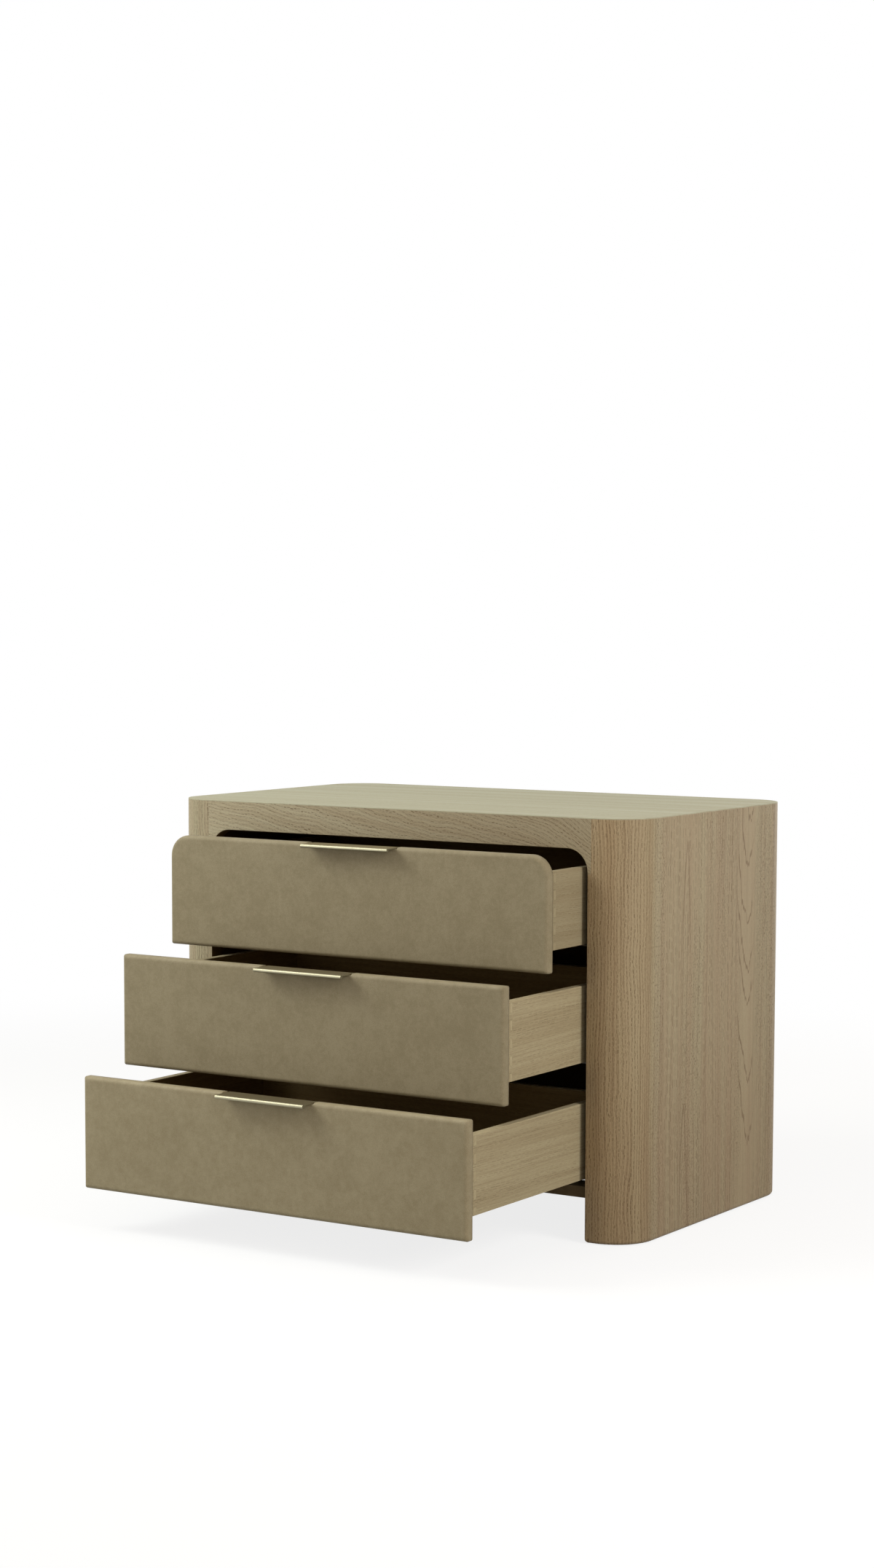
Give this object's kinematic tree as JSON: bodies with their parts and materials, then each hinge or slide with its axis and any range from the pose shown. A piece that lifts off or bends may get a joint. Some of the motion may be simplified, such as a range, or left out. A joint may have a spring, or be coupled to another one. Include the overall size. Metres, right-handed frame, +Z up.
{
  "type": "nightstand",
  "caption": "Nightstand with rounded corners, an arched opening, inset leather drawer fronts with edge pulls, jointed boxes and full-extension undermount runners.",
  "frame": {"origin": "on the floor, at the centre of the footprint that the nightstand takes up with its drawers open as stored", "axes": "+Z up, -Y towards the front, the way the drawers open, +X to the right seen from the front"},
  "size_m": [0.75, 0.7672, 0.56],
  "materials": {
    "oak_veneer": "matt open-grain oak veneer, vertical grain",
    "oak_top": "matt open-grain oak veneer, grain along the width",
    "oak_rail": "matt open-grain oak veneer, slanting grain",
    "oak_back": "matt oak veneer",
    "dark_interior": "dark stained board",
    "core_board": "raw board",
    "drawer_wood": "clear satin on pale hardwood",
    "drawer_bottom": "clear satin on thin plywood",
    "leather": "taupe leather with a soft mottle",
    "brass": "brushed pale brass",
    "zinc_steel": "zinc plated",
    "screw_steel": "zinc plated",
    "clip_plastic": "moulded",
    "glide_plastic": "moulded"
  },
  "bodies": {
    "case": {"left_side_shell": "oak_veneer", "right_side_shell": "oak_veneer", "left_liner": "dark_interior", "right_liner": "dark_interior", "left_blocking": "core_board", "right_blocking": "core_board", "left_base_plate": "dark_interior", "right_base_plate": "dark_interior", "top_core": "core_board", "top_veneer": "oak_top", "front_rail": "oak_rail", "floor_panel": "dark_interior", "back_panel": "oak_back", "back_screws": "screw_steel", "floor_glides": "glide_plastic", "runner_screws": "screw_steel", "cabinet_runners_1": "zinc_steel", "cabinet_runners_2": "zinc_steel", "cabinet_runners_3": "zinc_steel"},
    "drawer_1": {"drawer_1_front_core": "core_board", "drawer_1_front_leather": "leather", "drawer_1_pull": "brass", "drawer_1_pull_screws": "screw_steel", "drawer_1_box_front": "drawer_wood", "drawer_1_side_left": "drawer_wood", "drawer_1_side_right": "drawer_wood", "drawer_1_box_back": "drawer_wood", "drawer_1_bottom": "drawer_bottom", "drawer_1_front_screws": "screw_steel", "drawer_1_runners": "zinc_steel", "drawer_1_lock_clips": "clip_plastic"},
    "middle_1": {"middle_runners_1": "zinc_steel"},
    "drawer_2": {"drawer_2_front_core": "core_board", "drawer_2_front_leather": "leather", "drawer_2_pull": "brass", "drawer_2_pull_screws": "screw_steel", "drawer_2_box_front": "drawer_wood", "drawer_2_side_left": "drawer_wood", "drawer_2_side_right": "drawer_wood", "drawer_2_box_back": "drawer_wood", "drawer_2_bottom": "drawer_bottom", "drawer_2_front_screws": "screw_steel", "drawer_2_runners": "zinc_steel", "drawer_2_lock_clips": "clip_plastic"},
    "middle_2": {"middle_runners_2": "zinc_steel"},
    "drawer_3": {"drawer_3_front_core": "core_board", "drawer_3_front_leather": "leather", "drawer_3_pull": "brass", "drawer_3_pull_screws": "screw_steel", "drawer_3_box_front": "drawer_wood", "drawer_3_side_left": "drawer_wood", "drawer_3_side_right": "drawer_wood", "drawer_3_box_back": "drawer_wood", "drawer_3_bottom": "drawer_bottom", "drawer_3_front_screws": "screw_steel", "drawer_3_runners": "zinc_steel", "drawer_3_lock_clips": "clip_plastic"},
    "middle_3": {"middle_runners_3": "zinc_steel"}
  },
  "joints": [
    {"name": "drawer_1_slide", "type": "slide", "parent": "case", "child": "drawer_1", "axis": [0, -1, 0], "range_m": [-0.0972, 0.2628]},
    {"name": "middle_1_slide", "type": "slide", "parent": "case", "child": "middle_1", "axis": [0, -1, 0], "range_m": [-0.0486, 0.1314]},
    {"name": "drawer_2_slide", "type": "slide", "parent": "case", "child": "drawer_2", "axis": [0, -1, 0], "range_m": [-0.2034, 0.1566]},
    {"name": "middle_2_slide", "type": "slide", "parent": "case", "child": "middle_2", "axis": [0, -1, 0], "range_m": [-0.1017, 0.0783]},
    {"name": "drawer_3_slide", "type": "slide", "parent": "case", "child": "drawer_3", "axis": [0, -1, 0], "range_m": [-0.2878, 0.0722]},
    {"name": "middle_3_slide", "type": "slide", "parent": "case", "child": "middle_3", "axis": [0, -1, 0], "range_m": [-0.1439, 0.0361]}
  ],
  "couplings": [
    {"joint": "middle_1_slide", "follows": "drawer_1_slide", "ratio": 0.5},
    {"joint": "middle_2_slide", "follows": "drawer_2_slide", "ratio": 0.5},
    {"joint": "middle_3_slide", "follows": "drawer_3_slide", "ratio": 0.5}
  ]
}
